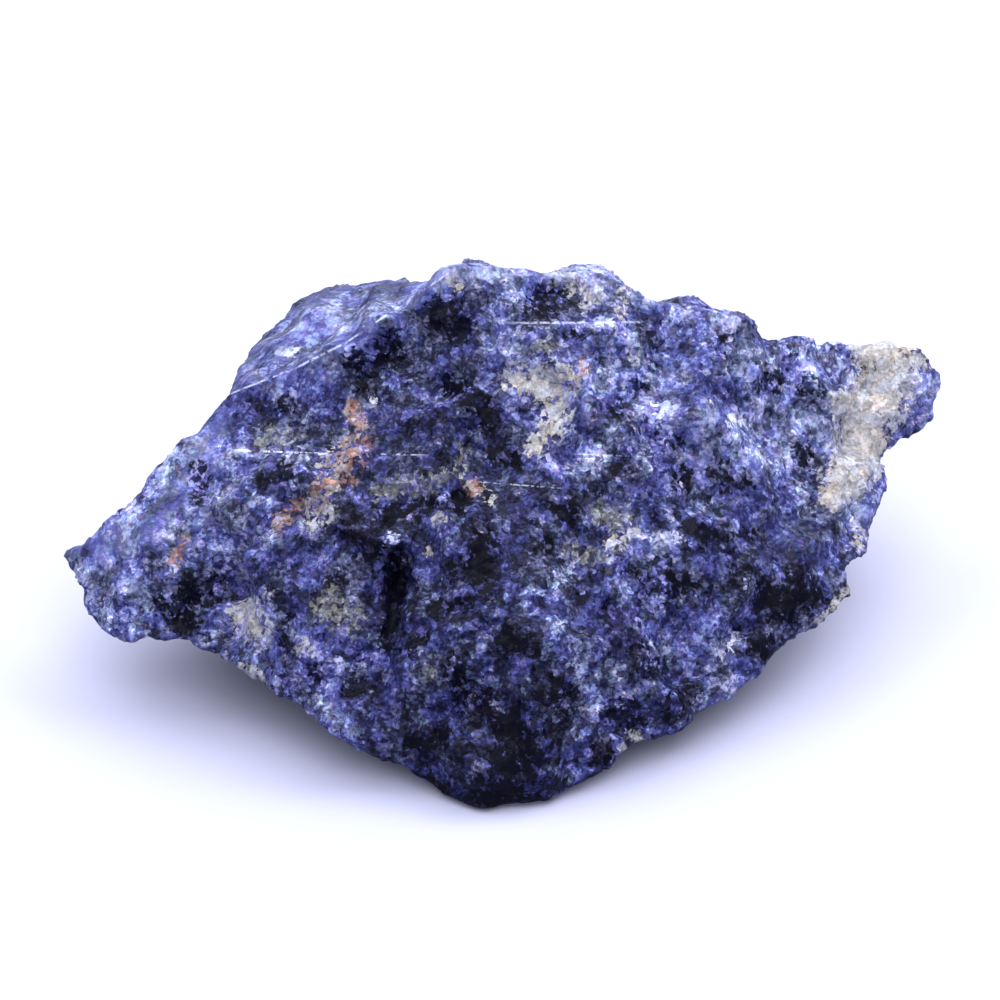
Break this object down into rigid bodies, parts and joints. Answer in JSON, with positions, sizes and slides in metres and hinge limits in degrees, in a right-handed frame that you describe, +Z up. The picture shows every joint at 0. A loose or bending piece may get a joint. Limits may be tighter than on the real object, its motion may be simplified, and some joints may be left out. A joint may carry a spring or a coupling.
{
  "type": "rough sodalite stone",
  "caption": "Lump of rough sodalite: a broken blue stone with a sharp crest, a wing-like left end, a beaked right end and a hackly face, resting on a small flat spot.",
  "frame": {"origin": "under the middle of the stone, at the level of the flat spot that it rests on", "axes": "+Z up; +X along the stone's long side, from the wing-like end to the beaked end; -Y out of the broad broken face"},
  "size_m": [0.0892, 0.0596, 0.0419],
  "materials": {
    "sodalite": "freshly broken, sugary and dull with small glassy glints; deep violet-blue with near-black, pale blue, grey-white, beige and orange-brown patches"
  },
  "bodies": {
    "root": {"rough_sodalite": "sodalite"}
  },
  "joints": []
}
